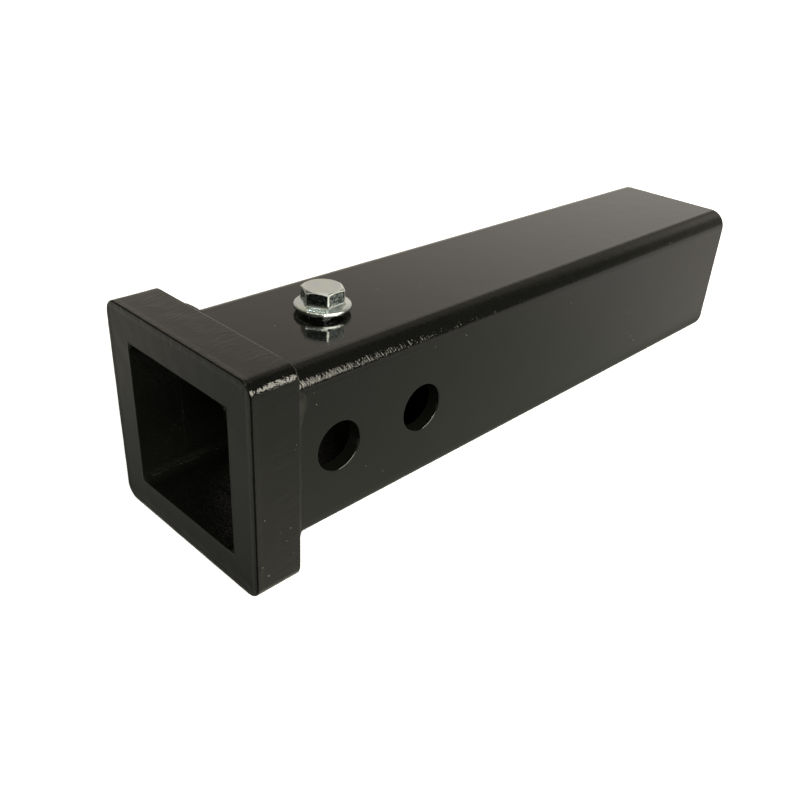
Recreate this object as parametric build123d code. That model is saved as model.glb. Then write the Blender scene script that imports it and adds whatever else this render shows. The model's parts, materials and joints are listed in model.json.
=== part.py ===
from build123d import *
import math
import os

# Hitch receiver adapter, in millimetres.
# Origin: centre of the mouth, on the collar's front face.
# +X runs from the mouth along the tube, +Z is up, and the pins go in along Y.

# Places closer than this count as one
same_place = 1e-4

# Shank tube
tube_side = 63.5
tube_wall = 5.0
tube_outer_corner = 8.2
tube_bore_corner = 4.5
overall_length = 298.0
tube_end_break = 0.4
bore_lead_in = 0.8

# Receiver collar
collar_side = 78.0
collar_thickness = 17.4
collar_corner = 5.2
collar_front_round = 0.7
collar_back_break = 0.5
mouth_edge_round = 0.4

# Pin holes, through both side walls
pin_hole_diameter = 18.0
first_pin_hole_x = 39.5
pin_hole_spacing = 39.0
pin_hole_count = 2
pin_hole_edge_break = 0.5

# Fillet weld runs, one on each flat of the tube
weld_leg_on_tube = 6.2
weld_start_width = 8.4
weld_bare_rim = 1.45
weld_crown = 0.7
weld_overrun = 5.0
weld_root_depth = 3.0
weld_end_length = 2.5
weld_start_fade = 11.0
weld_end_share = 0.5

# Anti-rattle bolt
bolt_thread_diameter = 10.0
bolt_thread_clearance = 0.05
bolt_length = 12.0
bolt_tip_chamfer = 0.9
bolt_stand_off = 1.5
bolt_turn = 3.2
hex_across_flats = 13.7
head_height = 7.5
head_chamfer_angle = 30.0
head_flat_share = 0.94
flange_diameter = 20.0
flange_rim_height = 1.3
flange_rim_break = 0.35
flange_seat_width = 0.7
flange_slope_angle = 17.0
flange_underside_relief = 0.25
hex_root_height = 3.2
hex_root_flare = 1.3

# Sizes that follow from the ones above
bore_side = tube_side - 2 * tube_wall
tube_length = overall_length - collar_thickness
tube_flat = tube_side - 2 * tube_outer_corner
pin_hole_positions = [first_pin_hole_x + i * pin_hole_spacing for i in range(pin_hole_count)]
bolt_x = (pin_hole_positions[0] + pin_hole_positions[-1]) / 2
flange_seat_z = tube_side / 2
bolt_underside_z = flange_seat_z + bolt_stand_off
weld_leg_on_collar = (collar_side - tube_side) / 2 - weld_bare_rim
weld_run_length = tube_flat + 2 * weld_overrun


def tube_outline(start_x):
    """Outer outline of the tube, across X at start_x."""
    return Plane.YZ.offset(start_x) * RectangleRounded(tube_side, tube_side, tube_outer_corner)


def bore_outline(start_x):
    """Square bore shared by the tube and the collar's window."""
    return Plane.YZ.offset(start_x) * RectangleRounded(bore_side, bore_side, tube_bore_corner)


def edges_on_plane(solid, x, smallest_reach, largest_reach):
    """Edges that lie across X at x, with their middle between two distances from the axis."""
    chosen = []
    for edge in solid.edges():
        box = edge.bounding_box()
        flat = abs(box.min.X - x) < same_place and abs(box.max.X - x) < same_place
        middle = edge @ 0.5
        reach = max(abs(middle.Y), abs(middle.Z))
        if flat and smallest_reach < reach < largest_reach:
            chosen.append(edge)
    return chosen


def make_shank_tube():
    """Square tube, butted against the collar's back face."""
    start = collar_thickness
    tube = extrude(tube_outline(start), tube_length) - extrude(bore_outline(start), tube_length)
    between_walls = (bore_side + tube_side) / 4
    lead_in_edges = edges_on_plane(tube, start, 0, between_walls)
    tube = chamfer(lead_in_edges, bore_lead_in)
    tube = chamfer(edges_on_plane(tube, overall_length, 0, tube_side), tube_end_break)
    for x in pin_hole_positions:
        tube -= Location((x, 0, 0), (90, 0, 0)) * Cylinder(pin_hole_diameter / 2, 2 * tube_side)
    tube = chamfer(pin_hole_rims(tube), pin_hole_edge_break)
    tapped_hole = Cylinder(bolt_thread_diameter / 2, tube_side / 2, align=(Align.CENTER, Align.CENTER, Align.MIN))
    return tube - Location((bolt_x, 0, 0)) * tapped_hole


def pin_hole_rims(tube):
    """Rims of the pin holes on the tube's two outer sides."""
    rims = []
    for edge in tube.edges().filter_by(GeomType.CIRCLE):
        on_side = abs(abs(edge.arc_center.Y) - tube_side / 2) < same_place
        if on_side and abs(edge.radius - pin_hole_diameter / 2) < same_place:
            rims.append(edge)
    return rims


def make_receiver_collar():
    """Thick square plate round the mouth, with the tube's bore cut through it."""
    plate = extrude(Plane.YZ * RectangleRounded(collar_side, collar_side, collar_corner), collar_thickness)
    plate -= extrude(bore_outline(0), collar_thickness)
    between = (bore_side + collar_side) / 4
    plate = fillet(edges_on_plane(plate, 0, between, collar_side), collar_front_round)
    plate = chamfer(edges_on_plane(plate, collar_thickness, between, collar_side), collar_back_break)
    return fillet(edges_on_plane(plate, 0, 0, between), mouth_edge_round)


def tube_height(along):
    """Height of the tube's top above its axis, which falls off round the corners."""
    past_flat = max(abs(along) - tube_flat / 2, 0)
    return tube_side / 2 - tube_outer_corner + math.sqrt(tube_outer_corner**2 - past_flat**2)


def weld_section(along, leg_on_tube, leg_on_collar):
    """Fillet weld's section at a place along the run, with a slightly crowned face."""
    toe_on_tube = (leg_on_tube, 0)
    toe_on_collar = (0, leg_on_collar)
    crown = weld_crown / math.hypot(weld_leg_on_tube, weld_leg_on_collar)
    crest = (
        leg_on_tube / 2 + crown * leg_on_collar,
        leg_on_collar / 2 + crown * leg_on_tube,
    )
    outline = ThreePointArc(toe_on_tube, crest, toe_on_collar)
    outline += Polyline(
        toe_on_collar,
        (0, -weld_root_depth),
        (leg_on_tube, -weld_root_depth),
        toe_on_tube,
    )
    plane = Plane(
        origin=(collar_thickness, along, tube_height(along)),
        x_dir=(1, 0, 0),
        z_dir=(0, -1, 0),
    )
    return plane * make_face(outline)


def make_weld_run():
    """The run on the tube's top: a wider start, an even middle, and ends that turn down the corners."""
    end = weld_run_length / 2
    flat_end = tube_flat / 2
    tip = weld_end_share
    sections = [
        weld_section(-end, tip * weld_leg_on_tube, tip * weld_leg_on_collar),
        weld_section(weld_end_length - end, weld_leg_on_tube, weld_leg_on_collar),
        weld_section(-flat_end, weld_leg_on_tube, weld_leg_on_collar),
        weld_section(flat_end - weld_start_fade, weld_leg_on_tube, weld_leg_on_collar),
        weld_section(flat_end, weld_start_width, weld_leg_on_collar),
        weld_section(end - weld_end_length, weld_start_width, weld_leg_on_collar),
        weld_section(end, tip * weld_leg_on_tube, tip * weld_leg_on_collar),
    ]
    return loft(sections, ruled=True) - extrude(tube_outline(collar_thickness), tube_length)


def make_bolt_head():
    """Hex head with a chamfered top, standing on a dished round flange."""
    flange_radius = flange_diameter / 2
    corner_radius = hex_across_flats / math.sqrt(3)
    flat_top_radius = head_flat_share * hex_across_flats / 2
    slope = math.tan(math.radians(flange_slope_angle))
    chamfer_drop = (flange_radius - flat_top_radius) * math.tan(math.radians(head_chamfer_angle))

    prism = extrude(RegularPolygon(corner_radius, 6), head_height)
    blank_profile = make_face(
        Polyline(
            (0, 0),
            (flange_radius, 0),
            (flange_radius, head_height - chamfer_drop),
            (flat_top_radius, head_height),
            (0, head_height),
            close=True,
        )
    )
    hexagon = prism & revolve(Plane.XZ * blank_profile, Axis.Z)

    seat_outer = flange_radius - flange_rim_break
    cone_foot = (seat_outer, flange_rim_height)
    inside_hexagon = hex_across_flats / 4
    cone_top = (inside_hexagon, flange_rim_height + (seat_outer - inside_hexagon) * slope)
    flange_profile = make_face(
        Polyline(
            (0, flange_underside_relief),
            (bolt_thread_diameter / 2, flange_underside_relief),
            (seat_outer - flange_seat_width, 0),
            (seat_outer, 0),
            (flange_radius, flange_rim_break),
            (flange_radius, flange_rim_height - flange_rim_break),
            cone_foot,
            cone_top,
            (0, cone_top[1]),
            close=True,
        )
    )
    flange = revolve(Plane.XZ * flange_profile, Axis.Z)
    return hexagon + flange + make_hex_root()


def make_hex_root():
    """Flared foot that carries the hexagon's flats down into the flange."""
    rise = hex_root_height - flange_rim_height
    foot_apothem = hex_across_flats / 2 + hex_root_flare
    foot = Plane.XY.offset(flange_rim_height) * RegularPolygon(foot_apothem, 6, major_radius=False)
    return extrude(foot, rise, taper=math.degrees(math.atan2(hex_root_flare, rise)))


def make_anti_rattle_bolt():
    """Hex flange bolt, standing upright in the tapped hole of the tube's top wall."""
    shank_radius = bolt_thread_diameter / 2 - bolt_thread_clearance
    shank_top = flange_rim_height
    shank = Cylinder(shank_radius, bolt_length + shank_top, align=(Align.CENTER, Align.CENTER, Align.MAX))
    shank = Location((0, 0, shank_top)) * shank
    tip_edge = shank.edges().filter_by(GeomType.CIRCLE).sort_by(Axis.Z)[0]
    shank = chamfer(tip_edge, bolt_tip_chamfer)
    bolt = make_bolt_head() + shank
    return Location((bolt_x, 0, bolt_underside_z), (0, 0, bolt_turn)) * bolt


def write(name, solid):
    solid.label = name
    export_step(solid, os.path.join("parts", name + ".step"))


os.makedirs("parts", exist_ok=True)
write("shank_tube", make_shank_tube())
write("receiver_collar", make_receiver_collar())

top_run = make_weld_run()
for name, turn in (("weld_run_top", 0), ("weld_run_right", 90), ("weld_run_bottom", 180), ("weld_run_left", 270)):
    write(name, Rotation(turn, 0, 0) * top_run)

write("anti_rattle_bolt", make_anti_rattle_bolt())
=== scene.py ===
import json
import math
import random

import bpy
from mathutils import Matrix, Vector

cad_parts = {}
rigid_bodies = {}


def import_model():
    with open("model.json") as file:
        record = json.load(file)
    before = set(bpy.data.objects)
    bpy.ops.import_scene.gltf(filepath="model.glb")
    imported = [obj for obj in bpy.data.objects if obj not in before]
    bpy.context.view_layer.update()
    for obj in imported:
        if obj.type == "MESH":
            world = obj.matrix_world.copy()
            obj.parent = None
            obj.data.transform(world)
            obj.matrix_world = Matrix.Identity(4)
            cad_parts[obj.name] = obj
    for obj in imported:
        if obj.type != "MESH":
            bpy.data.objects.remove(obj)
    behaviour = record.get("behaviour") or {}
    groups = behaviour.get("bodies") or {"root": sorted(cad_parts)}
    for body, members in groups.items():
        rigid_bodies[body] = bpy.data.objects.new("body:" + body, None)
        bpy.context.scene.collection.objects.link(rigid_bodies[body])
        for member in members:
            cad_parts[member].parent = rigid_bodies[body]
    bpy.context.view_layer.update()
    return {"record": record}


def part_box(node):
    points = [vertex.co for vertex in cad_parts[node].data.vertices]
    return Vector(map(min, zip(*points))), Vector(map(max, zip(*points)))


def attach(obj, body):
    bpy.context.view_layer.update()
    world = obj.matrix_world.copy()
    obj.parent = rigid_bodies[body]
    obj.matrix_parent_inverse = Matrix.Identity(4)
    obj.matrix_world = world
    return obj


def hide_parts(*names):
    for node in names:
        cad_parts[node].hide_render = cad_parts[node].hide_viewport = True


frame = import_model()
mm = 0.001
sameSpot = 0.01 * mm  # two places closer than this are one
nearSpot = 5 * sameSpot  # the same, on a curve
facing = 0.9  # a normal this much along an axis faces along it
print("frame loaded")


# Operators and picking

def deselectAll():
    for thing in bpy.context.view_layer.objects:
        thing.select_set(False)


def makeActive(piece):
    if bpy.context.object and bpy.context.object.mode != "OBJECT":
        bpy.ops.object.mode_set(mode="OBJECT")
    deselectAll()
    piece.select_set(True)
    bpy.context.view_layer.objects.active = piece


def namePiece(name):
    piece = bpy.context.object
    piece.name = name
    piece.data.name = name
    bpy.ops.object.transform_apply(location=True, rotation=True, scale=True)
    return piece


def pick(piece, kind, test):
    # selects faces by middle and normal, or edges by their two ends, and stays in edit mode
    makeActive(piece)
    bpy.ops.object.mode_set(mode="EDIT")
    bpy.ops.mesh.select_mode(type=kind)
    bpy.ops.mesh.select_all(action="DESELECT")
    bpy.ops.object.mode_set(mode="OBJECT")
    mesh = piece.data
    if kind == "FACE":
        for face in mesh.polygons:
            face.select = test(face.center, face.normal)
    else:
        for edge in mesh.edges:
            a, b = (mesh.vertices[i].co for i in edge.vertices)
            edge.select = test(a, b)
    bpy.ops.object.mode_set(mode="EDIT")


def leaveEdit():
    bpy.ops.object.mode_set(mode="OBJECT")


def applyModifier(piece, kind, **settings):
    makeActive(piece)
    modifier = piece.modifiers.new(kind.title(), kind)
    for key, value in settings.items():
        setattr(modifier, key, value)
    bpy.ops.object.modifier_apply(modifier=modifier.name)


def cutAway(piece, cutter, operation="DIFFERENCE"):
    applyModifier(piece, "BOOLEAN", operation=operation, object=cutter, solver="EXACT")
    bpy.data.objects.remove(cutter, do_unlink=True)


def joinPieces(pieces):
    makeActive(pieces[0])
    for piece in pieces:
        piece.select_set(True)
    bpy.ops.object.join()
    return bpy.context.object


def smoothShade(piece, angle):
    # flats stay flat beside the round edges, because large faces weigh most
    makeActive(piece)
    bpy.ops.object.shade_smooth_by_angle(angle=math.radians(angle))
    applyModifier(piece, "WEIGHTED_NORMAL", mode="FACE_AREA", weight=100, keep_sharp=True)


def dress(piece, body, nodes, material):
    piece.data.materials.clear()
    piece.data.materials.append(material)
    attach(piece, body)
    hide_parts(*nodes)


# Shader maths

class Value:
    # one shader socket: an expression on it adds its Math nodes
    def __init__(self, graph, socket):
        self.graph = graph
        self.socket = socket

    def maths(self, operation, *others):
        return self.graph.add("ShaderNodeMath", {"operation": operation}, dict(enumerate((self, *others))))

    def __add__(self, other):
        return self.maths("ADD", other)

    __radd__ = __add__

    def __sub__(self, other):
        return self.maths("SUBTRACT", other)

    def __rsub__(self, other):
        return self.graph.add("ShaderNodeMath", {"operation": "SUBTRACT"}, {0: other, 1: self})

    def __mul__(self, other):
        return self.maths("MULTIPLY", other)

    __rmul__ = __mul__

    def __truediv__(self, other):
        return self.maths("DIVIDE", other)

    def __abs__(self):
        return self.maths("ABSOLUTE")

    def larger(self, other):
        return self.maths("MAXIMUM", other)

    def smaller(self, other):
        return self.maths("MINIMUM", other)

    def above(self, edge, softness):
        # 0 below the edge and 1 above it, over a soft step
        return self.graph.add(
            "ShaderNodeMapRange",
            {"interpolation_type": "SMOOTHSTEP"},
            {"Value": self, "From Min": edge - softness, "From Max": edge + softness},
        )

    def below(self, edge, softness):
        return 1 - self.above(edge, softness)

    def squareRoot(self):
        return self.maths("SQRT")


class Graph:
    # a material or world and its nodes
    def __init__(self, owner):
        self.owner = owner
        owner.use_nodes = True
        self.tree = owner.node_tree
        self.tree.nodes.clear()

    def add(self, kind, settings=None, sockets=None, out=0):
        node = self.tree.nodes.new(kind)
        for key, value in (settings or {}).items():
            setattr(node, key, value)
        for key, value in (sockets or {}).items():
            target = node.inputs[key]
            if isinstance(value, Value):
                self.tree.links.new(value.socket, target)
            else:
                target.default_value = value
        return Value(self, node.outputs[out]) if node.outputs else node

    def place(self):
        # where a point lies on the object, in millimetres
        spot = self.add("ShaderNodeTexCoord", out="Object")
        return self.add("ShaderNodeVectorMath", {"operation": "SCALE"}, {0: spot, "Scale": 1 / mm})

    def split(self, vector):
        parts = self.add("ShaderNodeSeparateXYZ", None, {0: vector})
        node = parts.socket.node
        return [Value(self, node.outputs[i]) for i in range(3)]

    def vector(self, x, y, z):
        return self.add("ShaderNodeCombineXYZ", None, {0: x, 1: y, 2: z})

    def near(self, spot, point, radius, softness):
        # 1 round a point, fading to 0
        away = self.add("ShaderNodeVectorMath", {"operation": "DISTANCE"}, {0: spot, 1: point}, out="Value")
        return away.below(radius, softness)

    def noise(self, vector, scale, detail=2, roughness=0.5):
        sockets = {"Vector": vector, "Scale": scale, "Detail": detail, "Roughness": roughness}
        return self.add("ShaderNodeTexNoise", None, sockets)

    def cells(self, vector, scale):
        return self.add("ShaderNodeTexVoronoi", {"feature": "F1"}, {"Vector": vector, "Scale": scale})

    def blend(self, share, first, second):
        # from the first colour to the second
        return self.add("ShaderNodeMix", {"data_type": "RGBA"}, {0: share, 6: first, 7: second}, out=2)

    def bump(self, height, depth, under=None):
        sockets = {"Height": height, "Distance": depth, "Strength": 1.0}
        if under:
            sockets["Normal"] = under
        return self.add("ShaderNodeBump", None, sockets)

    def finish(self, sockets, matteAndShadeShare=None, matteAndShadeSockets=None):
        shader = self.add("ShaderNodeBsdfPrincipled", None, sockets)
        # a second, dark matte shader can be mixed in by share, for painted shade and for duller gloss
        if matteAndShadeShare:
            matteAndShade = self.add("ShaderNodeBsdfPrincipled", None, matteAndShadeSockets)
            shader = self.add("ShaderNodeMixShader", None, {0: matteAndShadeShare, 1: shader, 2: matteAndShade})
        self.add("ShaderNodeOutputMaterial", None, {"Surface": shader})
        return self.owner


def grey(level):
    return (level, level, level, 1)


# Materials

# A pair of numbers named step is a soft step: its middle and half its width

coat = {
    "colour": (0.0008, 0.0009, 0.0008, 1),
    "paleColour": (0.0030, 0.0031, 0.0029, 1),
    "insideColour": (0.0042, 0.0050, 0.0040, 1),
    # the dark matte shader of the painted shade
    "shadedColour": (0.0045, 0.0052, 0.0042, 1),
    "speckColour": (0.10, 0.10, 0.09, 1),
    "roughness": 0.02,
    "roughnessSpread": 0.02,
    "speckRoughness": 0.4,
    "shadedRoughness": 0.8,
    "shadedSpecular": 0.02,
    "ior": 1.45,
    "cloudSize": 0.04,  # each size of a pattern is per mm
    "cloudStep": (0.3, 0.3),
    "fleckSize": 1.8,
    "fleckStep": (0.5, 0.25),
    "peelSize": 1.1,
    "peelDepth": 0.026 * mm,
    "waveSize": 0.09,
    "waveDepth": 0.06 * mm,
    "grainStretch": 0.02,
    "crossedSlant": 1.2,  # a second grain crosses the first
    "crossedSize": 1.3,
    "crossedShare": 0.8,
    "edgeMargin": 0.4,
    "edgeFade": 1.2,
    "insideFade": 0.2,
    "insideStretch": 0.45,
    "insideGrainSize": 2.6,
    "insideGrainDepth": 0.13 * mm,
    "cornerFade": 0.8,
    # share of painted shade in the bore's inside corners
    "cornerShade": 0.94,
    "seamStep": (0.35, 0.15),
    "seamBreakStep": (0.5, 0.06),
    # share of painted shade on the walls of the holes
    "holeShade": 0.93,
    "holeFade": 0.1,
    "holeDepthFade": 0.2,
    "speckCells": 0.09,
    "speckSize": 0.02,
    "speckFade": 0.3,
    "markFade": 0.5,
}


def paintBase(name, look, shape=None):
    # gloss black powder coat: orange peel, slow waves, grain on the long edges, rougher inside, painted
    # shade in the bore and the holes, dust specks
    graph = Graph(bpy.data.materials.new(name))
    spot = graph.place()
    x, y, z = graph.split(spot)

    waves = graph.noise(spot, coat["waveSize"])
    normal = graph.bump(waves, coat["waveDepth"])
    peel = graph.noise(spot, coat["peelSize"])
    normal = graph.bump(peel, coat["peelDepth"], normal)

    fromEdge = abs(z) - abs(y)
    around = fromEdge * look["grainAround"]
    along = z * coat["grainStretch"]
    slanted = graph.vector(x + fromEdge * look["grainSlant"], around, along)
    grain = graph.noise(slanted, look["grainSize"], look["grainDetail"])
    slanted = graph.vector(x - fromEdge * look["grainSlant"] * coat["crossedSlant"], around, along)
    crossed = graph.noise(slanted, look["grainSize"] * coat["crossedSize"], 1)
    grain = grain + crossed * coat["crossedShare"]
    edgeMask = abs(y).smaller(abs(z)).above(look["cornerReach"] + coat["edgeMargin"], coat["edgeFade"])
    normal = graph.bump(grain * edgeMask, look["grainDepth"], normal)

    inside = abs(y).larger(abs(z)).below(look["insideReach"], coat["insideFade"])
    rough = graph.noise(graph.vector(x * coat["insideStretch"], y, z), coat["insideGrainSize"])
    normal = graph.bump(rough * inside, look["insideGrain"] * coat["insideGrainDepth"], normal)
    if shape:
        normal = graph.bump(shape(graph, spot, x, y, z), look["shapeDepth"], normal)

    # painted shade: a dark matte shader is mixed in inside the bore, more in its corners but for a thin
    # broken line, and on the walls of the holes; on the weld the same mix dulls the whole run
    inCorner = abs(y).smaller(abs(z)).above(look["insideReach"] - look["seamReach"], coat["cornerFade"])
    seam = abs(fromEdge).below(*coat["seamStep"]) * rough.above(*coat["seamBreakStep"])
    matteAndShade = look["insideMatteAndShade"] + (coat["cornerShade"] - look["insideMatteAndShade"]) * inCorner * (1 - seam)
    shaded = inside * matteAndShade
    for holeX in look["holes"]:
        across = x - holeX
        fromAxis = (across * across + z * z).squareRoot()
        inHole = fromAxis.below(look["holeReach"], coat["holeFade"])
        inHole = inHole * abs(y).below(look["holeDepth"], coat["holeDepthFade"])
        shaded = shaded.larger(inHole * coat["holeShade"])

    cloud = graph.noise(spot, coat["cloudSize"], 3)
    fleck = graph.noise(spot, coat["fleckSize"])
    cells = graph.cells(spot, coat["speckCells"])
    speck = cells.below(coat["speckSize"], coat["speckSize"] * coat["speckFade"])
    for mark in look["marks"]:
        speck = speck.larger(graph.near(spot, mark[:3], mark[3], mark[3] * coat["markFade"]))
    pale = fleck.above(*coat["fleckStep"]) * cloud.above(*coat["cloudStep"])
    tone = graph.blend(pale, coat["colour"], coat["paleColour"])
    tone = graph.blend(inside, tone, look["insideColour"])
    tone = graph.blend(speck, tone, coat["speckColour"])
    gloss = coat["roughness"] + inside * look["insideDull"]
    gloss = gloss + coat["roughnessSpread"] * cloud + speck * coat["speckRoughness"]
    painted = {"Base Color": tone, "Roughness": gloss, "IOR": coat["ior"], "Normal": normal}
    return graph.finish(painted, shaded, {
        "Base Color": coat["shadedColour"],
        "Roughness": coat["shadedRoughness"],
        "Specular IOR Level": coat["shadedSpecular"],
    })


plateMarks = {
    "sidesInset": 2.4,
    "sidesFade": 0.6,
    "windowMargin": 0.8,
    "windowFade": 0.3,
    "wanderSize": 0.11,
    "strokeWander": 9,
    "strokeStretch": 0.09,
    "strokeShift": 0.3,
    "strokeSize": 0.75,
    "strokeShare": 1.35,
    "rearWander": 6,
    "rearStep": (6.5, 2.5),
    "blotchSize": 0.9,
    "blotchShare": 0.55,
    "noiseRoughness": 0.6,
    "windowStretch": 0.05,
    "windowGrainSize": 1.1,
    "windowShare": 0.5,
    "frontStep": (1.9, 1.0),
    "frontReachStep": (37.0, 0.9),
    "raggedSize": 0.42,
    "raggedShare": 1.6,
    "lipInset": 0.24,
    "lipFade": 0.27,
    "lipShare": 1.45,
    "dent": (0, 1.1, 36.3),
    "dentStep": (0.55, 0.45),
    "dentShare": 0.9,
}


def collarShape(graph, spot, x, y, z):
    # saw strokes on the cut sides, a wavy front edge, a sagging rear lip and one dent, all under the paint
    m = plateMarks
    reach = abs(y).larger(abs(z))
    onSides = reach.above(plate["side"] / 2 / mm - m["sidesInset"], m["sidesFade"])
    inWindow = reach.below(plate["window"] / 2 / mm + m["windowMargin"], m["windowFade"])
    wander = graph.noise(spot, m["wanderSize"]) - 0.5
    along = y + z + wander * m["strokeWander"]
    stroked = graph.vector(x * m["strokeStretch"], along, along * m["strokeShift"])
    strokes = graph.noise(stroked, m["strokeSize"], 3, m["noiseRoughness"])
    rear = (x + wander * m["rearWander"]).above(*m["rearStep"])
    blotches = graph.noise(spot, m["blotchSize"], 3, m["noiseRoughness"])
    side = (strokes * rear * m["strokeShare"] + blotches * (1 - rear) * m["blotchShare"]) * onSides
    throughWindow = graph.vector(x * m["windowStretch"], z, y * m["windowStretch"])
    across = graph.noise(throughWindow, m["windowGrainSize"])
    frontEdge = x.below(*m["frontStep"]) * reach.above(*m["frontReachStep"])
    ragged = graph.noise(spot, m["raggedSize"], 3)
    lip = x.above(plate["end"] / mm - m["lipInset"], m["lipFade"]) * onSides
    dent = graph.near(spot, m["dent"], *m["dentStep"])
    height = side + across * inWindow * m["windowShare"] + ragged * frontEdge * m["raggedShare"]
    return height - lip * m["lipShare"] - dent * m["dentShare"]


zincPlate = {
    "colour": (0.70, 0.745, 0.755, 1),
    "yellow": (0.71, 0.75, 0.70, 1),
    "blue": (0.67, 0.72, 0.745, 1),
    # painted highlight on the hexagon's edges, top ring and upright corners
    "edgeHighlightColour": (0.93, 0.96, 0.95, 1),
    # painted reflection: dark flats with pale mottled patches
    "flatReflectionDark": (0.07, 0.09, 0.095, 1),
    "flatReflectionPale": (0.42, 0.47, 0.47, 1),
    "roughness": 0.18,
    "roughnessSpread": 0.1,
    "edgeRoughness": 0.42,
    "faceRoughness": 0.38,
    "tintSize": 0.22,
    "yellowStep": (0.52, 0.12),
    "blueStep": (0.4, 0.08),
    "mottleSize": 1.3,
    "mottleHarshness": 0.6,
    "mottleDepth": 0.09 * mm,
    "paleReflectionStep": (0.52, 0.1),
    "grainSize": 5.0,
    "grainDepth": 0.006 * mm,
    "rootTop": 2.95,  # above the seat
    "rootFade": 0.15,
    "flatInset": 0.12,
    "flatFade": 0.06,
    "chamferStep": (0.1, 0.06),
    "topDepth": 0.15,
    "topFade": 0.05,
    "topRingInset": 0.2,
    "topRingFade": 0.08,
    "highlightInset": 0.16,
    "highlightFade": 0.05,
    "highlightStep": (0.16, 0.06),
    "cornerInset": 0.17,
    "cornerFade": 0.04,
    "rimInset": 1.2,
    "rimFade": 0.3,
    "rimMottle": 1.6,
}


def makeZinc():
    graph = Graph(bpy.data.materials.new("zincPlate"))
    spot = graph.place()
    x, y, z = graph.split(spot)
    c = zincPlate
    tint = graph.noise(spot, c["tintSize"])
    tone = graph.blend(tint.above(*c["yellowStep"]), c["colour"], c["yellow"])
    tone = graph.blend(tint.below(*c["blueStep"]), tone, c["blue"])
    grain = graph.noise(spot, c["grainSize"])
    mottle = graph.noise(spot, c["mottleSize"], 3, c["mottleHarshness"])
    # painted reflection: the hexagon's flats are painted dark with pale mottled patches; painted highlight:
    # its edges are painted bright; the face beyond the window is duller
    fromX = x - flangeBolt["x"] / mm
    halfFlats = flangeBolt["acrossFlats"] / 2 / mm
    flatReach = halfFlats - c["flatInset"]
    cornerReach = flangeBolt["acrossFlats"] / math.sqrt(3) / mm
    flatRadius = flangeBolt["flatShare"] * halfFlats
    top = flangeBolt["top"] / mm
    slant = math.tan(math.radians(flangeBolt["chamferAngle"]))
    onHexagon = z.above(flangeBolt["seat"] / mm + c["rootTop"], c["rootFade"])
    reach = 0
    for turn in (30, 90, 150):
        angle = math.radians(flangeBolt["turn"] + turn)
        across = fromX * math.cos(angle) + y * math.sin(angle)
        reach = abs(across).larger(reach)
        if turn == 90:
            rightFace = onHexagon * across.below(-flatReach, c["flatFade"])
    fromAxis = (fromX * fromX + y * y).squareRoot()
    underChamfer = top + flatRadius * slant - (z + fromAxis * slant)
    onFlats = onHexagon * reach.above(flatReach, c["flatFade"]) * underChamfer.above(*c["chamferStep"])
    # painted highlight along the top ring, the chamfer's edge and the upright corners
    topRing = z.above(top - c["topDepth"], c["topFade"])
    topRing = topRing * fromAxis.above(flatRadius - c["topRingInset"], c["topRingFade"])
    chamferEdge = reach.above(flatReach - c["highlightInset"], c["highlightFade"])
    chamferEdge = chamferEdge * underChamfer.below(*c["highlightStep"])
    upright = fromAxis.above(cornerReach - c["cornerInset"], c["cornerFade"])
    edgeHighlight = onHexagon * topRing.larger(chamferEdge).larger(upright)
    onFlats = onFlats * (1 - edgeHighlight)
    onRim = fromAxis.above(flangeBolt["flangeRadius"] / mm - c["rimInset"], c["rimFade"])
    # painted reflection on the flats: dark, with pale mottled patches
    pale = mottle.above(*c["paleReflectionStep"])
    tone = graph.blend(onFlats, tone, graph.blend(pale, c["flatReflectionDark"], c["flatReflectionPale"]))
    # painted highlight: these edges are painted bright
    tone = graph.blend(edgeHighlight, tone, c["edgeHighlightColour"])
    normal = graph.bump(grain, c["grainDepth"])
    normal = graph.bump(mottle * onFlats.larger(onRim * c["rimMottle"]), c["mottleDepth"], normal)
    gloss = c["roughness"] + (mottle - 0.5) * c["roughnessSpread"]
    gloss = gloss + edgeHighlight * (c["edgeRoughness"] - c["roughness"])
    gloss = gloss + rightFace * onFlats * (c["faceRoughness"] - c["roughness"])
    return graph.finish({"Base Color": tone, "Metallic": 1.0, "Roughness": gloss, "Normal": normal})


# Shank tube

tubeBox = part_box("shank_tube")
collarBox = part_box("receiver_collar")
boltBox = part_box("anti_rattle_bolt")
mounts = {m["name"]: m for m in frame["record"]["mounts"]}

tube = {
    "start": tubeBox[0].x,
    "end": tubeBox[1].x,
    "side": tubeBox[1].y - tubeBox[0].y,
    "wall": 5.0 * mm,
    "corner": 8.2 * mm,
    "boreCorner": 4.5 * mm,
    "cornerSteps": 16,
    "endBreak": 0.5 * mm,
    "leadIn": 0.8 * mm,
    "holes": [mounts[name]["pos_m"][0] for name in ("front_pin_hole", "rear_pin_hole")],
    "holeRadius": mounts["front_pin_hole"]["dims"]["r_mm"] * mm,
    "holeBreak": 0.5 * mm,
    "boltHoleX": (boltBox[0].x + boltBox[1].x) / 2,
    "boltHoleRadius": 5.0 * mm,
    "roundSteps": 96,
    "breakSteps": 3,
    "smoothAngle": 35,
}


def roundedBar(name, start, end, side, corner, steps):
    # a square bar along X with its four long edges rounded
    deselectAll()
    middle = ((start + end) / 2, 0, 0)
    bpy.ops.mesh.primitive_cube_add(size=1, location=middle, scale=(end - start, side, side))
    bar = namePiece(name)
    pick(bar, "EDGE", lambda a, b: abs(a.x - b.x) > sameSpot)
    bpy.ops.mesh.bevel(offset=corner, segments=steps, affect="EDGES")
    leaveEdit()
    return bar


def squareDepth(point, side, corner):
    # how far a point lies outside a rounded square round the X axis
    flat = side / 2 - corner
    y = abs(point.y) - flat
    z = abs(point.z) - flat
    return math.hypot(max(y, 0), max(z, 0)) + min(max(y, z), 0) - corner


def onLoop(x, side, corner):
    # picks the edges that lie across X on a rounded square
    def test(a, b):
        flat = abs(a.x - x) < sameSpot and abs(b.x - x) < sameSpot
        return flat and all(abs(squareDepth(p, side, corner)) < nearSpot for p in (a, b))
    return test


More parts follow.
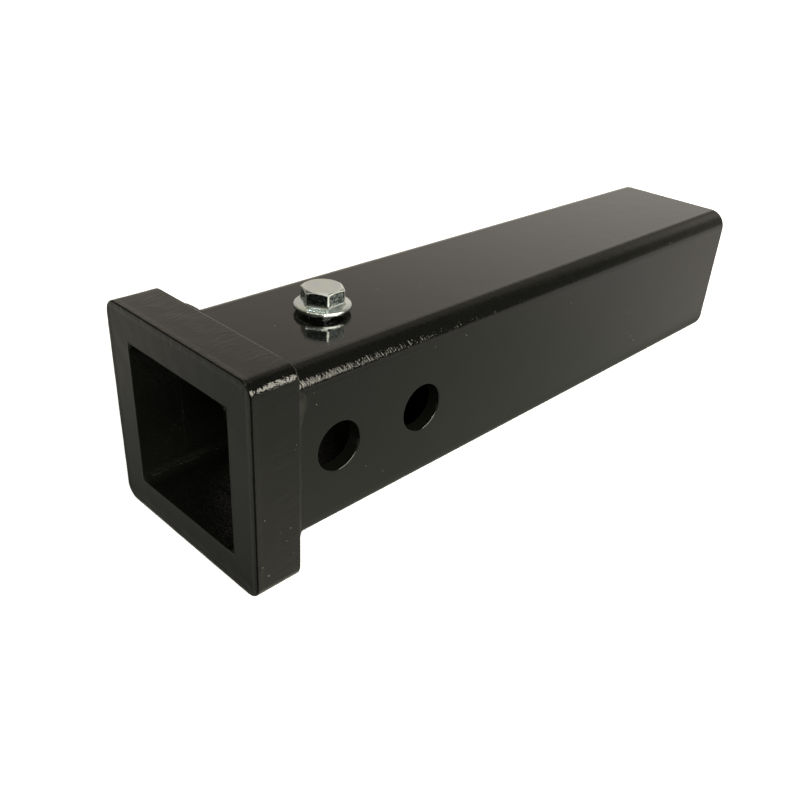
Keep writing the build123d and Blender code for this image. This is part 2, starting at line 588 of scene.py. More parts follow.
def hollowBar(name, start, end, side, corner, boreSide, boreCorner, steps):
    # an outer and an inner bar, each without its ends, joined by a rim of quads at both ends
    slack = 1 * mm  # the bore stands out a little while its rims are bridged, then goes flat
    outer = roundedBar(name, start, end, side, corner, steps)
    inner = roundedBar(name + "Bore", start - slack, end + slack, boreSide, boreCorner, steps)
    for bar in (outer, inner):
        pick(bar, "FACE", lambda middle, normal: abs(normal.x) > facing)
        bpy.ops.mesh.delete(type="ONLY_FACE")
        leaveEdit()
    bar = joinPieces([outer, inner])
    for x, boreX in ((start, start - slack), (end, end + slack)):
        outerLoop = onLoop(x, side, corner)
        innerLoop = onLoop(boreX, boreSide, boreCorner)
        pick(bar, "EDGE", lambda a, b: outerLoop(a, b) or innerLoop(a, b))
        bpy.ops.mesh.bridge_edge_loops()
        pick(bar, "EDGE", innerLoop)
        bpy.ops.transform.resize(value=(0, 1, 1), center_override=(x, 0, 0))
    bpy.ops.mesh.select_all(action="SELECT")
    bpy.ops.mesh.normals_make_consistent(inside=False)
    leaveEdit()
    return bar


def drill(piece, place, turn, radius, depth, steps):
    deselectAll()
    bpy.ops.mesh.primitive_cylinder_add(
        vertices=steps, radius=radius, depth=depth, location=place, rotation=turn
    )
    cutAway(piece, namePiece("drill"))


def makeShankTube():
    t = tube
    boreSide = t["side"] - 2 * t["wall"]
    boreCorner = t["boreCorner"]
    piece = hollowBar(
        "shankTube", t["start"], t["end"], t["side"], t["corner"], boreSide, boreCorner, t["cornerSteps"]
    )
    for x, side, corner, width in (
        (t["end"], t["side"], t["corner"], t["endBreak"]),
        (t["end"], boreSide, boreCorner, t["endBreak"]),
        (t["start"], boreSide, boreCorner, t["leadIn"]),
    ):
        pick(piece, "EDGE", onLoop(x, side, corner))
        bpy.ops.mesh.bevel(offset=width, segments=t["breakSteps"], affect="EDGES")
        leaveEdit()
    quarter = math.radians(90)
    for x in t["holes"]:
        drill(piece, (x, 0, 0), (quarter, 0, 0), t["holeRadius"], 2 * t["side"], t["roundSteps"])
    boltHole = (t["boltHoleX"], 0, t["side"] / 2)
    drill(piece, boltHole, (0, 0, 0), t["boltHoleRadius"], t["side"] / 2, t["roundSteps"])

    for x in t["holes"]:
        def onHoleRim(a, b):
            onSide = all(abs(abs(p.y) - t["side"] / 2) < sameSpot for p in (a, b))
            onRim = all(abs(math.hypot(p.x - x, p.z) - t["holeRadius"]) < nearSpot for p in (a, b))
            return onSide and onRim

        pick(piece, "EDGE", onHoleRim)
        bpy.ops.mesh.bevel(offset=t["holeBreak"], segments=t["breakSteps"], affect="EDGES")
        leaveEdit()
    smoothShade(piece, t["smoothAngle"])
    return piece


# Receiver collar

plate = {
    "start": collarBox[0].x,
    "end": collarBox[1].x,
    "side": collarBox[1].y - collarBox[0].y,
    "window": tube["side"] - 2 * tube["wall"],
    "corner": 5.2 * mm,
    "windowCorner": tube["boreCorner"],
    "cornerSteps": 10,
    "frontRound": 0.7 * mm,
    "backBreak": 0.5 * mm,
    "mouthRound": 0.4 * mm,
    "roundSteps": 4,
    "smoothAngle": 60,
    "longEdge": 20 * mm,  # edges longer than these are divided, each kind by its own cuts
    "thickEdge": 10 * mm,
    "radialEdge": 5 * mm,
    "cutsAcross": 46,
    "cutsThrough": 12,
    "cutsRadial": 9,
    "lumpSize": 0.006,
    "lumpDepth": 0.16 * mm,
}


def displace(piece, name, size, strength, direction="NORMAL", middle=1.0):
    lumps = bpy.data.textures.new(name, "CLOUDS")
    lumps.noise_scale = size
    lumps.noise_depth = 2
    applyModifier(
        piece, "DISPLACE", texture=lumps, texture_coords="LOCAL", strength=strength, mid_level=middle,
        direction=direction,
    )


def makeReceiverCollar():
    p = plate
    piece = hollowBar(
        "receiverCollar", p["start"], p["end"], p["side"], p["corner"], p["window"], p["windowCorner"],
        p["cornerSteps"],
    )
    for x, side, corner, width in (
        (p["start"], p["side"], p["corner"], p["frontRound"]),
        (p["end"], p["side"], p["corner"], p["backBreak"]),
        (p["start"], p["window"], p["windowCorner"], p["mouthRound"]),
    ):
        pick(piece, "EDGE", onLoop(x, side, corner))
        bpy.ops.mesh.bevel(offset=width, segments=p["roundSteps"], affect="EDGES")
        leaveEdit()

    pick(piece, "EDGE", lambda a, b: abs(a.x - b.x) < sameSpot and (a - b).length > p["longEdge"])
    bpy.ops.mesh.subdivide(number_cuts=p["cutsAcross"])
    leaveEdit()
    pick(piece, "EDGE", lambda a, b: abs(a.x - b.x) > p["thickEdge"])
    bpy.ops.mesh.subdivide(number_cuts=p["cutsThrough"])
    leaveEdit()

    def radial(a, b):
        reachA = squareDepth(a, p["side"], p["corner"])
        reachB = squareDepth(b, p["side"], p["corner"])
        return abs(a.x - b.x) < sameSpot and abs(reachA - reachB) > p["radialEdge"]

    pick(piece, "EDGE", radial)
    bpy.ops.mesh.subdivide(number_cuts=p["cutsRadial"])
    leaveEdit()
    displace(piece, "plateLumps", p["lumpSize"], p["lumpDepth"])
    smoothShade(piece, p["smoothAngle"])
    return piece


# Weld runs

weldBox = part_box("weld_run_top")
weld = {
    "legOnTube": 6.2 * mm,
    "legOnCollar": weldBox[1].z - tubeBox[1].z,
    "wideLeg": weldBox[1].x - weldBox[0].x,
    "crown": 0.7 * mm,
    "root": 2.0 * mm,
    "length": weldBox[1].y - weldBox[0].y,
    "rows": 200,
    "steps": 12,
    "seed": 4,
    "smoothAngle": 60,
    "endBand": 0.3 * mm,  # rows this near an end are its own
    "endDrop": 1.7 * mm,
    "startBand": 1.5 * mm,
    "startFade": 6.0 * mm,
    "wideBack": 0.6 * mm,
    "endNarrow": 0.60,
    "endFade": 5.5 * mm,
    "ripplePitch": 1.15 * mm,
    "rippleShift": 0.25,  # share of the pitch
    "rippleBand": 0.6,  # share of a row
    "rippleReach": 0.55 * mm,
    "rippleSwell": 0.035,
    "rippleSpread": (0.4, 1.3),
    "rippleBow": 1.0 * mm,
    "bowPlace": 0.45,  # share of the leg on the tube
    "bowBand": 0.8 * mm,
    "bowReach": 5.0 * mm,
    "endTaper": 0.6,
    "taperFade": 1.6 * mm,
    "flat": tube["side"] - 2 * tube["corner"],
    "toeWander": 0.9 * mm,
    "toeLumpSize": 0.006,
    "faceLumps": 0.5 * mm,
    "faceLumpSize": 0.0035,
    "lumpMiddle": 0.6,
}


def makeWeldRun():
    # the run on top: an arched face spun between its two toes, closed behind, then rippled
    w = weld
    corner = Vector((collarBox[1].x, 0, tubeBox[1].z))
    tubeToe = corner + Vector((w["legOnTube"], 0, 0))
    collarToe = corner + Vector((0, 0, w["legOnCollar"]))
    chord = (collarToe - tubeToe).length
    radius = (chord ** 2 / 4 + w["crown"] ** 2) / (2 * w["crown"])
    outward = Vector((w["legOnCollar"], 0, w["legOnTube"])).normalized()
    centre = (tubeToe + collarToe) / 2 - outward * (radius - w["crown"])
    sweep = 2 * math.asin(chord / 2 / radius)

    deselectAll()
    bpy.ops.mesh.primitive_plane_add(
        size=1, location=tubeToe - Vector((0, 0, w["root"] / 2)), rotation=(0, math.radians(90), 0)
    )
    bpy.context.object.scale = (w["root"], w["length"], 1)
    run = namePiece("weldRunTop")
    pick(run, "EDGE", lambda a, b: abs(a.y - b.y) > sameSpot)
    bpy.ops.mesh.subdivide(number_cuts=w["rows"] // 2 - 1)
    bpy.ops.mesh.subdivide(number_cuts=1)
    leaveEdit()
    pick(run, "EDGE", lambda a, b: min(a.z, b.z) > tubeToe.z - sameSpot)
    bpy.ops.mesh.spin(steps=w["steps"], angle=sweep, center=centre, axis=(0, 1, 0))
    drop = Vector((0, 0, -w["legOnCollar"] - w["root"]))
    bpy.ops.mesh.extrude_region_move(TRANSFORM_OT_translate={"value": drop})
    leaveEdit()
    floorZ = tubeToe.z - w["root"]
    pick(run, "EDGE", lambda a, b: max(a.z, b.z) < floorZ + nearSpot and abs(a.y - b.y) > sameSpot)
    bpy.ops.mesh.bridge_edge_loops()
    leaveEdit()
    for end in (-1, 1):
        pick(run, "EDGE", lambda a, b: min(a.y * end, b.y * end) > w["length"] / 2 - sameSpot)
        bpy.ops.mesh.edge_face_add()
        leaveEdit()
    pick(run, "EDGE", lambda a, b: True)
    bpy.ops.mesh.normals_make_consistent(inside=False)
    leaveEdit()
    shapeWeldRun(run, corner)
    return run


def swell(run, corner, y, band, scale, reach, falloff):
    # scales the rows near y about the run's inner corner, fading over reach
    pick(run, "EDGE", lambda a, b: abs(a.y - y) < band and abs(b.y - y) < band)
    bpy.ops.transform.resize(
        value=scale,
        center_override=(corner.x, y, corner.z),
        use_proportional_edit=True,
        proportional_edit_falloff=falloff,
        proportional_size=reach,
    )
    leaveEdit()


def shapeWeldRun(run, corner):
    w = weld
    half = w["length"] / 2
    row = w["length"] / w["rows"]
    draw = random.Random(w["seed"])
    wide = w["wideLeg"] / w["legOnTube"]
    flatEnd = w["flat"] / 2
    swell(run, corner, flatEnd - w["wideBack"], w["startBand"], (wide, 1, 1), w["startFade"], "SMOOTH")
    count = int(w["length"] / w["ripplePitch"])
    for i in range(1, count):
        y = -half + (i + draw.uniform(-w["rippleShift"], w["rippleShift"])) * w["ripplePitch"]
        more = 1 + w["rippleSwell"] * draw.uniform(*w["rippleSpread"])
        swell(run, corner, y, w["rippleBand"] * row, (more, 1, more), w["rippleReach"], "SHARP")

    # the ripples bow towards the start of the run
    crest = corner.x + w["bowPlace"] * w["legOnTube"]
    inner = half - w["bowReach"]

    def onCrest(a, b):
        return all(
            abs(p.x - crest) < w["bowBand"] and p.z > corner.z and abs(p.y) < inner for p in (a, b)
        )

    pick(run, "EDGE", onCrest)
    bpy.ops.transform.translate(
        value=(0, w["rippleBow"], 0), use_proportional_edit=True, proportional_size=w["bowReach"]
    )
    leaveEdit()
    for end in (-1, 1):
        swell(run, corner, end * half, w["endBand"], (w["endNarrow"], 1, 1), w["endFade"], "SMOOTH")
        swell(run, corner, end * half, w["endBand"], (1, 1, w["endTaper"]), w["taperFade"], "SMOOTH")
        pick(run, "EDGE", lambda a, b: min(a.y * end, b.y * end) > half - nearSpot)
        bpy.ops.transform.translate(
            value=(0, 0, -w["endDrop"]), use_proportional_edit=True, proportional_edit_falloff="SHARP",
            proportional_size=half - flatEnd,
        )
        leaveEdit()
    displace(run, "weldToe", w["toeLumpSize"], w["toeWander"], direction="X", middle=w["lumpMiddle"])
    displace(run, "weldFace", w["faceLumpSize"], w["faceLumps"], middle=w["lumpMiddle"])
    smoothShade(run, w["smoothAngle"])


def turnCopy(run, name, turn):
    copy = run.copy()
    copy.data = run.data.copy()
    copy.name = name
    copy.data.name = name
    bpy.context.scene.collection.objects.link(copy)
    makeActive(copy)
    copy.rotation_euler = (math.radians(turn), 0, 0)
    bpy.ops.object.transform_apply(location=True, rotation=True, scale=True)
    return copy


# Set bolt: hexagon, flange, root and thread, made apart and merged

flangeBolt = {
    "x": (boltBox[0].x + boltBox[1].x) / 2,
    "top": boltBox[1].z,
    "tip": boltBox[0].z,
    "seat": boltBox[1].z - 7.46 * mm,  # a hair up, so that it seats on the tube without going in
    "turn": 3.2,
    "acrossFlats": 13.7 * mm,
    "cornerRound": 0.32 * mm,
    "topRound": 0.18 * mm,
    "topSteps": 2,
    "flatShare": 0.94,
    "chamferAngle": 30,
    "flangeRadius": (boltBox[1].x - boltBox[0].x) / 2,
    "rimHeight": 1.3 * mm,
    "rimRound": 0.32 * mm,
    "rimSteps": 3,
    "slope": 17,
    "relief": 0.25 * mm,
    "seatWidth": 1.05 * mm,
    "rootHeight": 1.9 * mm,
    "rootFlare": 1.3 * mm,
    "rootSink": 0.3 * mm,
    "rootSteps": 6,
    "crestRadius": 4.95 * mm,
    "threadDepth": 0.72 * mm,
    "pitch": 1.25 * mm,
    "crestFlat": 0.2 * mm,
    "neckLength": 0.15 * mm,
    "neckGap": 0.02 * mm,
    "tipChamfer": 0.9 * mm,
    "blankShare": 0.6,
    "roundSteps": 128,
    "threadSteps": 64,
    "smoothAngle": 28,
}


def addCylinder(name, sides, radius, low, high, turn=0.0):
    deselectAll()
    bpy.ops.mesh.primitive_cylinder_add(
        vertices=sides,
        radius=radius,
        depth=high - low,
        location=(flangeBolt["x"], 0, (low + high) / 2),
        rotation=(0, 0, math.radians(turn)),
    )
    return namePiece(name)


def raiseFace(piece, low, high, scale, way=1):
    # extrudes the face at a height, then scales it about the bolt's axis
    pick(piece, "FACE", lambda middle, normal: abs(middle.z - low) < sameSpot and normal.z * way > facing)
    bpy.ops.mesh.extrude_region_move(TRANSFORM_OT_translate={"value": (0, 0, high - low)})
    bpy.ops.transform.resize(value=(scale, scale, 1), center_override=(flangeBolt["x"], 0, high))
    leaveEdit()


def roundRim(piece, z, radius, width, steps):
    def onRim(a, b):
        return all(
            abs(p.z - z) < sameSpot and abs(math.hypot(p.x - flangeBolt["x"], p.y) - radius) < nearSpot
            for p in (a, b)
        )

    pick(piece, "EDGE", onRim)
    bpy.ops.mesh.bevel(offset=width, segments=steps, affect="EDGES")
    leaveEdit()


def makeHexagon():
    b = flangeBolt
    cornerRadius = b["acrossFlats"] / math.sqrt(3)
    hexagon = addCylinder("hexagon", 6, cornerRadius, b["seat"] + b["relief"] * 2, b["top"], 30 + b["turn"])
    pick(hexagon, "EDGE", lambda a, c: abs(a.z - c.z) > sameSpot)
    bpy.ops.mesh.bevel(offset=b["cornerRound"], segments=b["rimSteps"], affect="EDGES")
    leaveEdit()
    flatRadius = b["flatShare"] * b["acrossFlats"] / 2
    drop = (b["flangeRadius"] - flatRadius) * math.tan(math.radians(b["chamferAngle"]))
    turned = addCylinder("turned", b["roundSteps"], b["flangeRadius"], b["seat"], b["top"] - drop)
    raiseFace(turned, b["top"] - drop, b["top"], flatRadius / b["flangeRadius"])
    roundRim(turned, b["top"], flatRadius, b["topRound"], b["topSteps"])
    cutAway(hexagon, turned, "INTERSECT")
    return hexagon


def makeHexRoot():
    # a hollow curve that carries the flats out into the flange
    b = flangeBolt
    foot = b["seat"] + b["rimHeight"]
    toCorner = 2 / math.sqrt(3)
    reach = b["acrossFlats"] / 2 + b["rootFlare"]
    low = foot - b["rootSink"]
    root = addCylinder("hexRoot", 6, reach * toCorner, low, foot, 30 + b["turn"])
    last = foot
    for i in range(1, b["rootSteps"] + 1):
        angle = math.radians(90) * i / b["rootSteps"]
        height = foot + b["rootHeight"] * (1 - math.cos(angle))
        newReach = b["acrossFlats"] / 2 + b["rootFlare"] * (1 - math.sin(angle))
        raiseFace(root, last, height, newReach / reach)
        reach = newReach
        last = height
    return root


def makeFlange():
    b = flangeBolt
    rimTop = b["seat"] + b["rimHeight"]
    flange = addCylinder("flange", b["roundSteps"], b["flangeRadius"], b["seat"], rimTop)
    innerRadius = b["acrossFlats"] / 4
    coneTop = rimTop + (b["flangeRadius"] - innerRadius) * math.tan(math.radians(b["slope"]))
    raiseFace(flange, rimTop, coneTop, innerRadius / b["flangeRadius"])
    for z in (rimTop, b["seat"]):
        roundRim(flange, z, b["flangeRadius"], b["rimRound"], b["rimSteps"])
    pick(flange, "FACE", lambda middle, normal: abs(middle.z - b["seat"]) < sameSpot and normal.z < -facing)
    bpy.ops.mesh.inset(thickness=b["seatWidth"])
    bpy.ops.transform.translate(value=(0, 0, b["relief"]))
    leaveEdit()
    return flange


def makeThread():
    b = flangeBolt
    rootRadius = b["crestRadius"] - b["threadDepth"]
    low = b["tip"] - b["pitch"]
    high = b["seat"] - b["neckLength"]
    turns = math.ceil((high - low) / b["pitch"]) + 1
    deselectAll()
    bpy.ops.mesh.primitive_plane_add(size=1 * mm, location=(b["x"], 0, low))
    thread = bpy.context.object
    flank = (b["pitch"] - 2 * b["crestFlat"]) / 2
    bpy.ops.object.mode_set(mode="EDIT")
    bpy.ops.mesh.select_mode(type="VERT")
    bpy.ops.mesh.select_all(action="SELECT")
    bpy.ops.mesh.merge(type="CENTER")
    bpy.ops.transform.translate(value=(rootRadius, 0, 0))
    for step in (
        (b["threadDepth"], 0, flank),
        (0, 0, b["crestFlat"]),
        (-b["threadDepth"], 0, flank),
        (0, 0, b["crestFlat"]),
    ):
        bpy.ops.mesh.extrude_vertices_move(TRANSFORM_OT_translate={"value": step})
    leaveEdit()
    applyModifier(
        thread, "SCREW", axis="Z", angle=math.radians(360), screw_offset=b["pitch"], iterations=turns,
        steps=b["threadSteps"], render_steps=b["threadSteps"], use_merge_vertices=True,
        merge_threshold=sameSpot,
    )
    thread = namePiece("thread")
    pick(thread, "EDGE", lambda a, c: True)
    bpy.ops.mesh.remove_doubles(threshold=sameSpot)
    bpy.ops.mesh.fill_holes(sides=0)
    bpy.ops.mesh.normals_make_consistent(inside=False)
    leaveEdit()
    chamferTop = b["tip"] + b["tipChamfer"]
    chamferRadius = b["crestRadius"] - b["tipChamfer"]
    blankRadius = b["flangeRadius"] * b["blankShare"]
    blank = addCylinder("blank", b["threadSteps"], blankRadius, chamferTop, high)
    raiseFace(blank, chamferTop, b["tip"], chamferRadius / blankRadius, -1)
    cutAway(thread, blank, "INTERSECT")
    # the plain neck that joins it to the flange
    neckTop = b["seat"] + b["rimHeight"]
    neck = addCylinder("neck", b["threadSteps"], rootRadius - b["neckGap"], high - b["pitch"], neckTop)
    cutAway(thread, neck, "UNION")
    return thread


def makeSetBolt():
    bolt = makeFlange()
    cutAway(bolt, makeHexagon(), "UNION")
    cutAway(bolt, makeHexRoot(), "UNION")
    cutAway(bolt, makeThread(), "UNION")
    pick(bolt, "EDGE", lambda a, c: True)
    bpy.ops.mesh.remove_doubles(threshold=sameSpot)
    leaveEdit()
    bolt.name = "setBolt"
    bolt.data.name = "setBolt"
    smoothShade(bolt, flangeBolt["smoothAngle"])
    return bolt


tubeLook = {
    "cornerReach": (tube["side"] / 2 - tube["corner"]) / mm,
    "grainAround": 0.1,
    "grainSlant": 0.32,
    "grainSize": 1.7,  # per mm
    "grainDetail": 0,
    "grainDepth": 0.055 * mm,
    "insideReach": (tube["side"] / 2 - tube["wall"]) / mm + 0.5,
    "insideDull": 0.0,
    "insideGrain": 1.5,
    # share of painted shade inside the bore
    "insideMatteAndShade": 0.45,
    "seamReach": 5.0,
    "insideColour": coat["insideColour"],
    "holes": [x / mm for x in tube["holes"]],
    "holeReach": tube["holeRadius"] / mm + 0.1,
    "holeDepth": tube["side"] / 2 / mm - 0.7,
    "marks": [  # place and size of the larger specks, in mm
        (28.5, -31.7, 23.7, 0.13),
        (51.7, -31.75, -13.1, 0.16),
        (83.1, -31.75, 22.6, 0.16),
        (165.9, -31.75, 17.4, 0.16),
        (217.2, -31.75, -0.4, 0.28),
        (224.1, -31.75, -14.6, 0.25),
        (227.0, -31.75, -17.6, 0.3),
        (38.4, -0.2, 31.75, 0.28),
        (87.7, 2.3, 31.75, 0.3),
        (198.5, -29.2, 28.7, 0.45),
    ],
}
collarLook = {
    "cornerReach": (plate["side"] / 2 - plate["corner"]) / mm,
    "grainAround": 0.8,
    "grainSlant": 0.3,
    "grainSize": 0.8,
    "grainDetail": 2,
    "grainDepth": 0.06 * mm,
    "insideReach": plate["window"] / 2 / mm + 0.2,
    "insideDull": 0.0,
    "insideGrain": 1.5,
    # share of painted shade inside the window
    "insideMatteAndShade": 0.3,
    "seamReach": 4.8,
    "insideColour": coat["insideColour"],
    "holes": [],
    "shapeDepth": 0.11 * mm,
    "marks": [
        (15.9, -39.0, 13.7, 0.14),
        (15.5, -39.0, 12.1, 0.12),
        (3.5, -39.0, -8.2, 0.2),
        (9.4, -39.0, -15.9, 0.15),
        (11.7, -39.0, -20.2, 0.15),
        (2.2, -39.0, -25.8, 0.22),
        (4.4, -39.0, -30.3, 0.3),
        (14.4, -39.0, -26.6, 0.16),
    ],
}
everywhere = 1000.0  # in mm, past the whole object
weldLook = dict(
    tubeLook,
    cornerReach=everywhere,
    insideReach=everywhere,
    seamReach=0.0,
    insideDull=0.3,
    insideGrain=0.3,
    # on the weld the dark matte mix covers the whole run and halves its gloss
    insideMatteAndShade=0.5,
    insideColour=(0.028, 0.028, 0.026, 1),
    holes=[],
    marks=[],
)

tubeBlack = paintBase("tubePaint", tubeLook)
collarBlack = paintBase("collarPaint", collarLook, collarShape)
weldBlack = paintBase("weldPaint", weldLook)
zinc = makeZinc()

dress(makeShankTube(), "adapter", ["shank_tube"], tubeBlack)
print("shank tube made")
dress(makeReceiverCollar(), "adapter", ["receiver_collar"], collarBlack)
print("receiver collar made")
topRun = makeWeldRun()
for name, side, turn in (("Right", "right", 90), ("Bottom", "bottom", 180), ("Left", "left", 270)):
    run = turnCopy(topRun, "weldRun" + name, turn)
    dress(run, "adapter", ["weld_run_" + side], weldBlack)
dress(topRun, "adapter", ["weld_run_top"], weldBlack)
print("weld runs made")
dress(makeSetBolt(), "set_bolt", ["anti_rattle_bolt"], zinc)
print("set bolt made")


# Studio: floor, light and camera

studio = {
    "floorSize": 8.0,
    "floorDrop": 0.03 * mm,
    "paperSeen": (0.80, 0.80, 0.80, 1),
    "glowSeen": 0.75,  # light that the paper adds where the camera looks at it
    "paperRoughness": 0.9,
    "fibreSize": 0.9,
    "fibreDepth": 0.02 * mm,
    # painted light and shadow: the glow that each part of the paper sends into the gloss of the paint,
    # which the camera does not see
    "besideNear": (0.50, 0.51, 0.425, 1),
    "besideFar": (0.69, 0.65, 0.585, 1),
    "farStep": (260, 110),
    "besideCollar": (0.64, 0.62, 0.51, 1),
    "collarStep": (55, 40),
    "shadowUnderTube": (0.2, 0.2, 0.17, 1),
    "underStep": (5, 8),
    "underStart": 3,
    "ahead": (0.33, 0.33, 0.29, 1),
    "aheadFar": (0.44, 0.42, 0.36, 1),
    "aheadFarStep": (120, 50),
    "aheadStep": (0, 4),
    "shadowAtMouth": (0.09, 0.09, 0.075, 1),
    "mouthReach": 45,
    "mouthCurve": 0.4,
    "shadowTowardsCamera": (0.08, 0.08, 0.065, 1),
    "nearWay": (-0.843, -0.537),
    "nearStep": (0.5, 0.12),
}


def makeFloor():
    # the adapter rests on the collar's rear bottom edge and on the tube's far bottom edge
    p = studio
    restFront = Vector((collarBox[1].x, 0, collarBox[0].z))
    restBack = Vector((tubeBox[1].x, 0, tubeBox[0].z))
    slope = math.atan2(restBack.z - restFront.z, restBack.x - restFront.x)
    deselectAll()
    place = restFront - Vector((0, 0, p["floorDrop"]))
    bpy.ops.mesh.primitive_plane_add(size=p["floorSize"], location=place, rotation=(0, -slope, 0))
    floor = bpy.context.object
    floor.name = "floor"
    graph = Graph(bpy.data.materials.new("palePaper"))
    spot = graph.place()
    x, y, z = graph.split(spot)
    x = x + collarBox[1].x / mm
    fibre = graph.noise(spot, p["fibreSize"])
    seen = graph.add("ShaderNodeLightPath", out="Is Camera Ray")

    # beside the tube, with a painted shadow under it
    beside = graph.blend(x.above(*p["farStep"]), p["besideNear"], p["besideFar"])
    beside = graph.blend(x.below(*p["collarStep"]), beside, p["besideCollar"])
    gap = (abs(y) - tube["side"] / 2 / mm).larger(0)
    behindCollar = x.above(plate["end"] / mm + p["underStart"], p["underStart"])
    beside = graph.blend(gap.below(*p["underStep"]) * behindCollar, beside, p["shadowUnderTube"])
    # ahead of the mouth, with a painted shadow where the collar stands
    ahead = graph.blend(y.above(*p["aheadFarStep"]), p["ahead"], p["aheadFar"])
    fromMouth = (x * (-1 / p["mouthReach"])).larger(0).smaller(1).maths("POWER", p["mouthCurve"])
    ahead = graph.blend(fromMouth, p["shadowAtMouth"], ahead)
    paintedGlow = graph.blend(x.below(*p["aheadStep"]), beside, ahead)
    # a painted shadow from the collar's near corner forwards and to the right
    fromCorner = y + plate["side"] / 2 / mm
    length = (x * x + fromCorner * fromCorner).squareRoot()
    alongNear, acrossNear = p["nearWay"]
    nearSide = ((x * alongNear + fromCorner * acrossNear) / length).above(*p["nearStep"])
    paintedGlow = graph.blend(nearSide, paintedGlow, p["shadowTowardsCamera"])
    # the paper glows with the painted light and shadow only where the camera does not look; the camera sees
    # an even white
    floor.data.materials.append(graph.finish({
        "Base Color": graph.blend(seen, grey(0.0), p["paperSeen"]),
        "Roughness": p["paperRoughness"],
        "Specular IOR Level": 0.0,
        "Emission Color": graph.blend(seen, paintedGlow, grey(p["glowSeen"])),
        "Emission Strength": 1.0,
        "Normal": graph.bump(fibre, p["fibreDepth"]),
    }))


def aim(thing, target):
    thing.rotation_mode = "QUATERNION"
    thing.rotation_quaternion = (target - thing.location).to_track_quat("-Z", "Y")


lightTarget = (0.12, 0, 0)


def panel(name, azimuth, elevation, distance, width, height, radiance, colour, upright=False):
    # a soft rectangular light that faces the adapter; azimuth turns from +X towards +Y
    light = bpy.data.lights.new(name, "AREA")
    light.shape = "RECTANGLE"
    light.size = width
    light.size_y = height
    light.color = colour
    light.energy = radiance * math.pi * width * height
    thing = bpy.data.objects.new(name, light)
    bpy.context.scene.collection.objects.link(thing)
    a = math.radians(azimuth)
    e = math.radians(elevation)
    target = Vector(lightTarget)
    away = Vector((math.cos(a) * math.cos(e), math.sin(a) * math.cos(e), math.sin(e)))
    thing.location = target + away * distance
    if upright:
        target.z = thing.location.z
    aim(thing, target)
    thing.visible_camera = False
    return thing


lights = {
    "window": {
        "azimuth": -90.6,
        "elevation": 25.5,
        "distance": 1.74,
        "width": 2.12,
        "height": 0.95,
        "radiance": 11.5,
        "colour": (1.0, 0.95, 0.80),
        "upright": True,
    },
    "lamp": {
        "azimuth": -170,
        "elevation": 47,
        "distance": 1.2,
        "width": 0.12,
        "height": 0.22,
        "radiance": 16.0,
        "colour": (1.0, 0.99, 0.9),
    },
}

room = {
    "lean": 0.75,  # the wall's near edge leans outwards as it rises
    "wallStep": (0.08, 0.012),  # azimuths in radians
    "wallEndStep": (1.35, 0.1),
    "wallNear": (0.60, 0.55, 0.475, 1),
    "wallFar": (0.78, 0.735, 0.665, 1),
    "wallNearStep": (0.72, 0.25),
    "besideWall": (0.34, 0.32, 0.265, 1),
    "besideStep": (-0.63, 0.05),
    "lowPatch": (0.72, 0.67, 0.57, 1),
    "lowPatchPlace": 0.06,
    "lowPatchStep": (0.17, 0.12),
    "lowPatchTopStep": (0.50, 0.05),
    "dark": (0.12, 0.125, 0.095, 1),
    "behindCamera": (0.33, 0.33, 0.27, 1),
    "behindRightStep": (-2.3, 0.4),
    "behindLeftStep": (2.9, 0.1),
    "skirting": (0.45, 0.44, 0.38, 1),
    "skirtingStep": (0.012, 0.008),
    "ceiling": (0.85, 0.84, 0.75, 1),
    "ceilingStep": (0.94, 0.03),
}


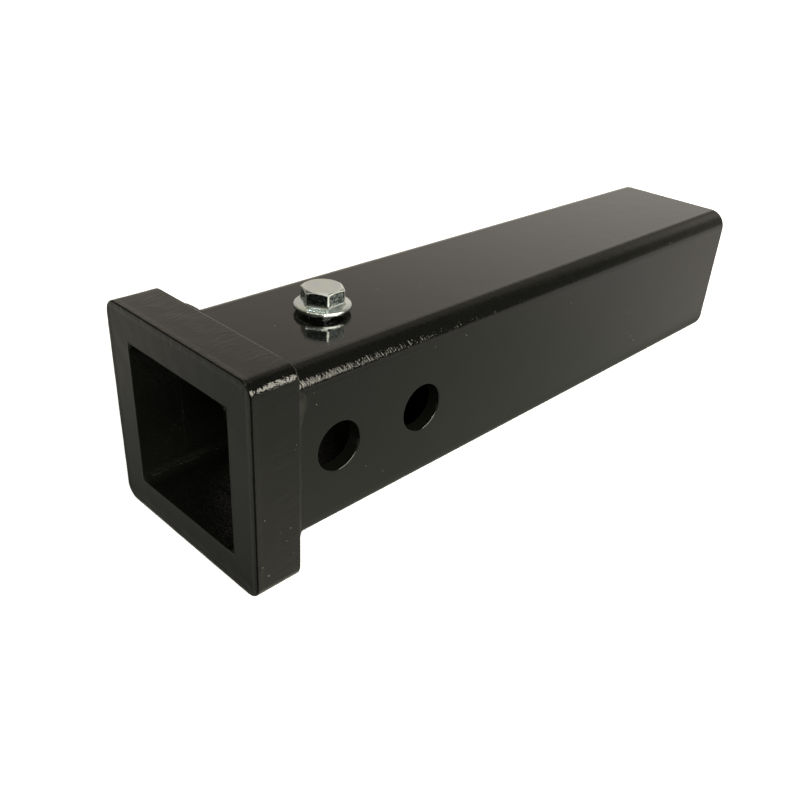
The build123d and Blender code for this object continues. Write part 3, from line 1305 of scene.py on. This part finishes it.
def makeRoom():
    # a bright wall behind the adapter, a dark side, a pale ceiling; the camera itself sees white
    r = room
    world = bpy.data.worlds.new("room")
    bpy.context.scene.world = world
    graph = Graph(world)
    x, y, z = graph.split(graph.add("ShaderNodeTexCoord", out="Generated"))
    azimuth = y.maths("ARCTAN2", x)
    leaning = azimuth - z.maths("ARCSINE") * r["lean"]
    beforeEnd = azimuth.below(*r["wallEndStep"])
    behind = azimuth.below(*r["behindRightStep"]).larger(azimuth.above(*r["behindLeftStep"]))
    fromPatch = abs(azimuth + r["lowPatchPlace"])
    onPatch = z.below(*r["lowPatchTopStep"]) * fromPatch.below(*r["lowPatchStep"])
    wall = graph.blend(azimuth.above(*r["wallNearStep"]), r["wallFar"], r["wallNear"])
    shade = graph.blend(behind, r["dark"], r["behindCamera"])
    for share, colour in (
        (leaning.above(*r["besideStep"]) * beforeEnd, r["besideWall"]),
        (onPatch, r["lowPatch"]),
        (z.below(*r["skirtingStep"]), r["skirting"]),
        (leaning.above(*r["wallStep"]) * beforeEnd, wall),
        (z.above(*r["ceilingStep"]), r["ceiling"]),
    ):
        shade = graph.blend(share, shade, colour)
    seen = graph.add("ShaderNodeLightPath", out="Is Camera Ray")
    background = graph.add("ShaderNodeBackground", None, {"Color": graph.blend(seen, shade, grey(1.0))})
    graph.add("ShaderNodeOutputWorld", None, {"Surface": background})


def makeLights():
    panel("windowLight", **lights["window"])
    panel("lampLight", **lights["lamp"])
    makeRoom()


view = {
    "position": Vector((-117.95, -204.69, 150.27)) * mm,
    "forward": Vector((0.63929, 0.58049, -0.50433)),
    "up": Vector((0.32424, 0.39121, 0.86129)),
    "lens": 38.15,
    "sensor": 36.0,
    "shiftX": -0.01262,
    "shiftY": 0.01633,
    "nearest": 0.01,
    "farthest": 50,
}


def makeCamera():
    camera = bpy.data.cameras.new("camera")
    camera.lens = view["lens"]
    camera.sensor_width = view["sensor"]
    camera.shift_x = view["shiftX"]
    camera.shift_y = view["shiftY"]
    camera.clip_start = view["nearest"]
    camera.clip_end = view["farthest"]
    thing = bpy.data.objects.new("camera", camera)
    bpy.context.scene.collection.objects.link(thing)
    forward = view["forward"].normalized()
    right = forward.cross(view["up"]).normalized()
    up = right.cross(forward)
    turn = Matrix((right, up, -forward)).transposed()
    thing.matrix_world = Matrix.Translation(view["position"]) @ turn.to_4x4()
    bpy.context.scene.camera = thing


makeFloor()
makeLights()
makeCamera()
bpy.context.scene.view_settings.view_transform = "Standard"
print("studio made")
